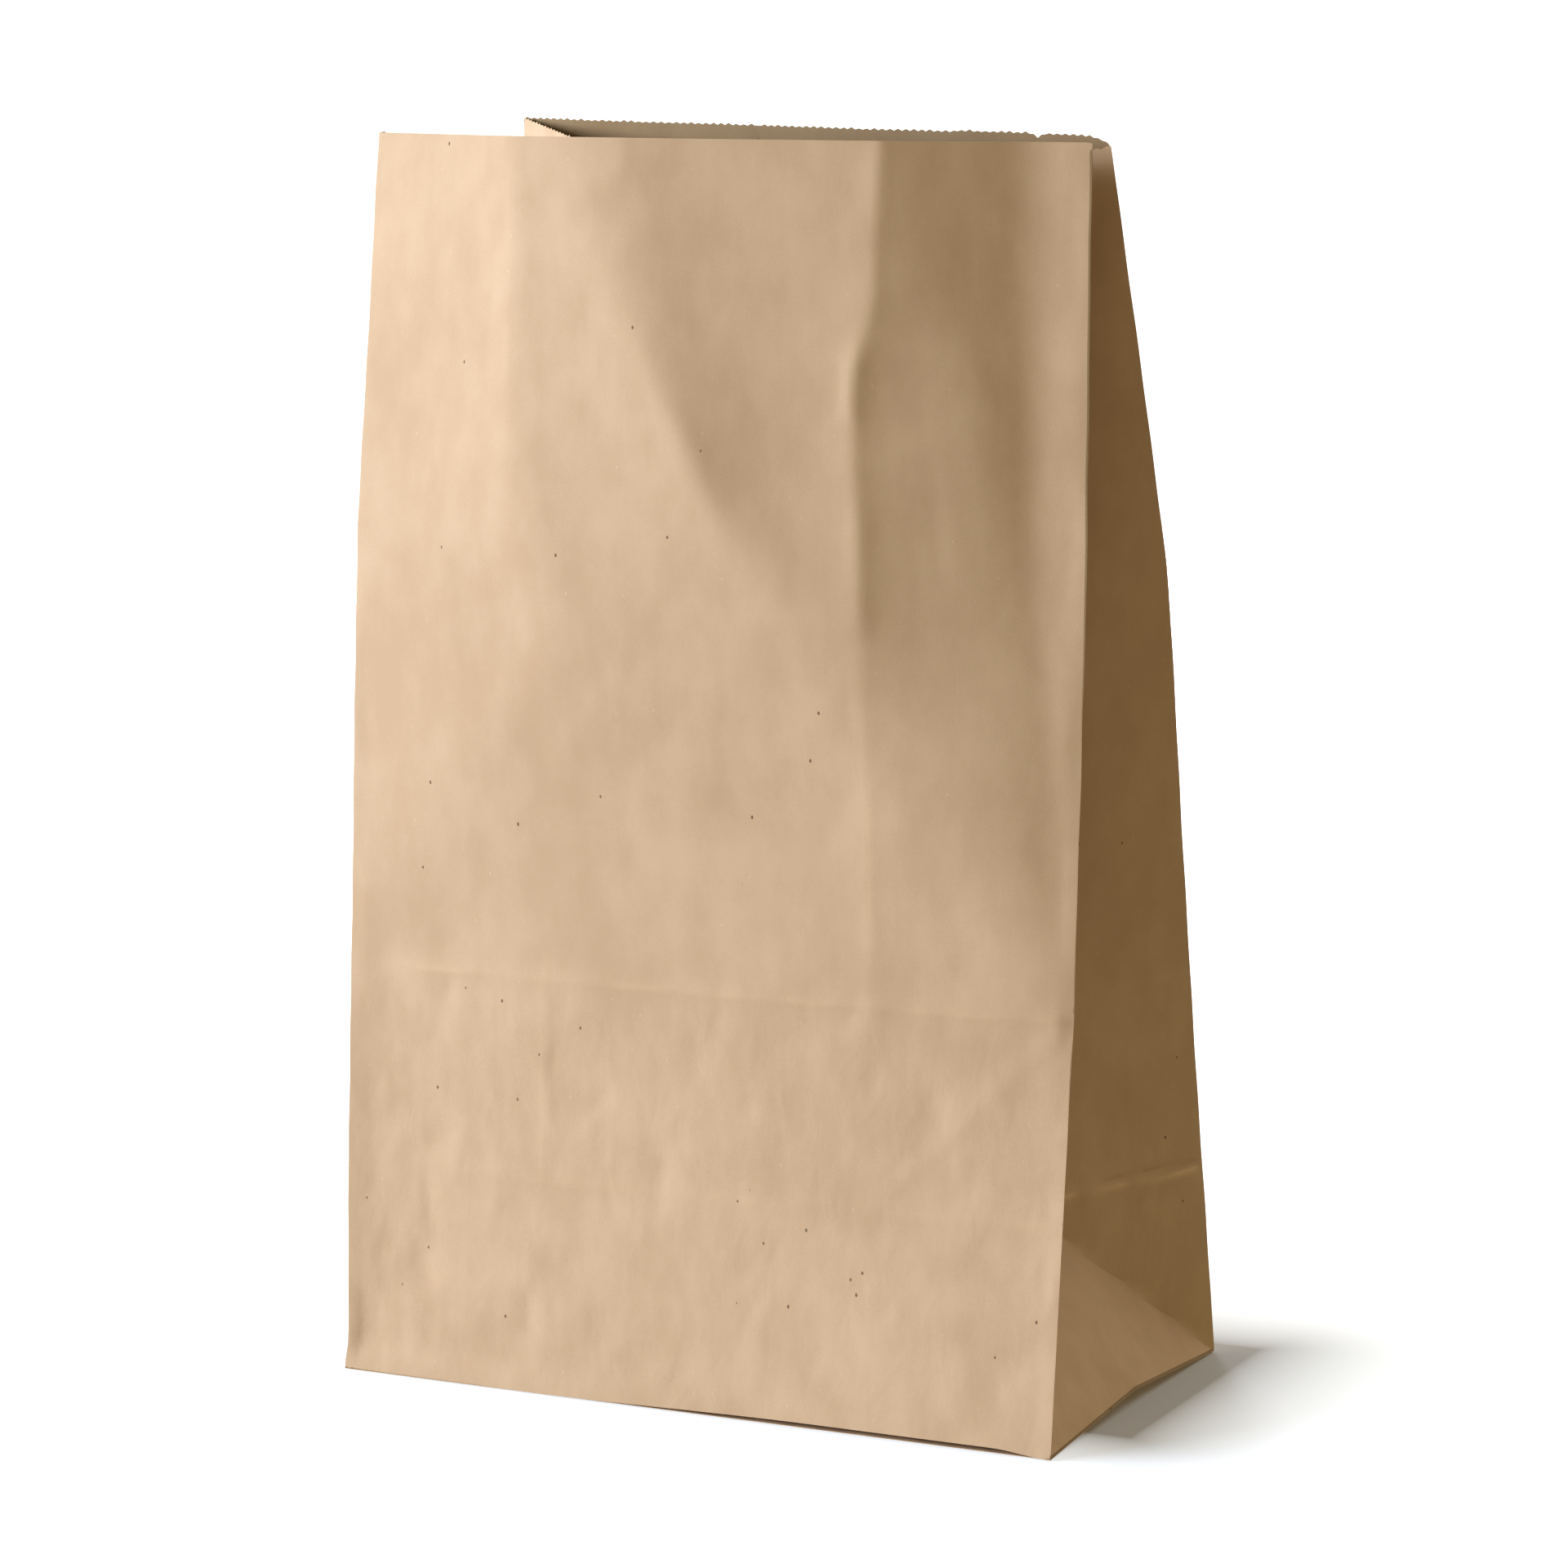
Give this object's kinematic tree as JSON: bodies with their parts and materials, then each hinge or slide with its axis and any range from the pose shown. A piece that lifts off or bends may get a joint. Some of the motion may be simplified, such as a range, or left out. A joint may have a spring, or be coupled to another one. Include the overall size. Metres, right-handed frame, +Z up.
{
  "type": "paper lunch bag",
  "caption": "Open kraft paper lunch bag standing on a flat folded bottom, with pleated side gussets folding in towards a narrowed mouth and a lapped seam down the back.",
  "frame": {"origin": "on the floor under the middle of the base", "axes": "+Z up from the base to the mouth, -Y out of the front panel, +X to the right seen from the front"},
  "size_m": [0.1782, 0.102, 0.2891],
  "materials": {
    "kraft_paper": "uncoated natural brown kraft paper, matt, with fibres and fine creases"
  },
  "bodies": {
    "root": {"paper_bag": "kraft_paper"}
  },
  "joints": []
}
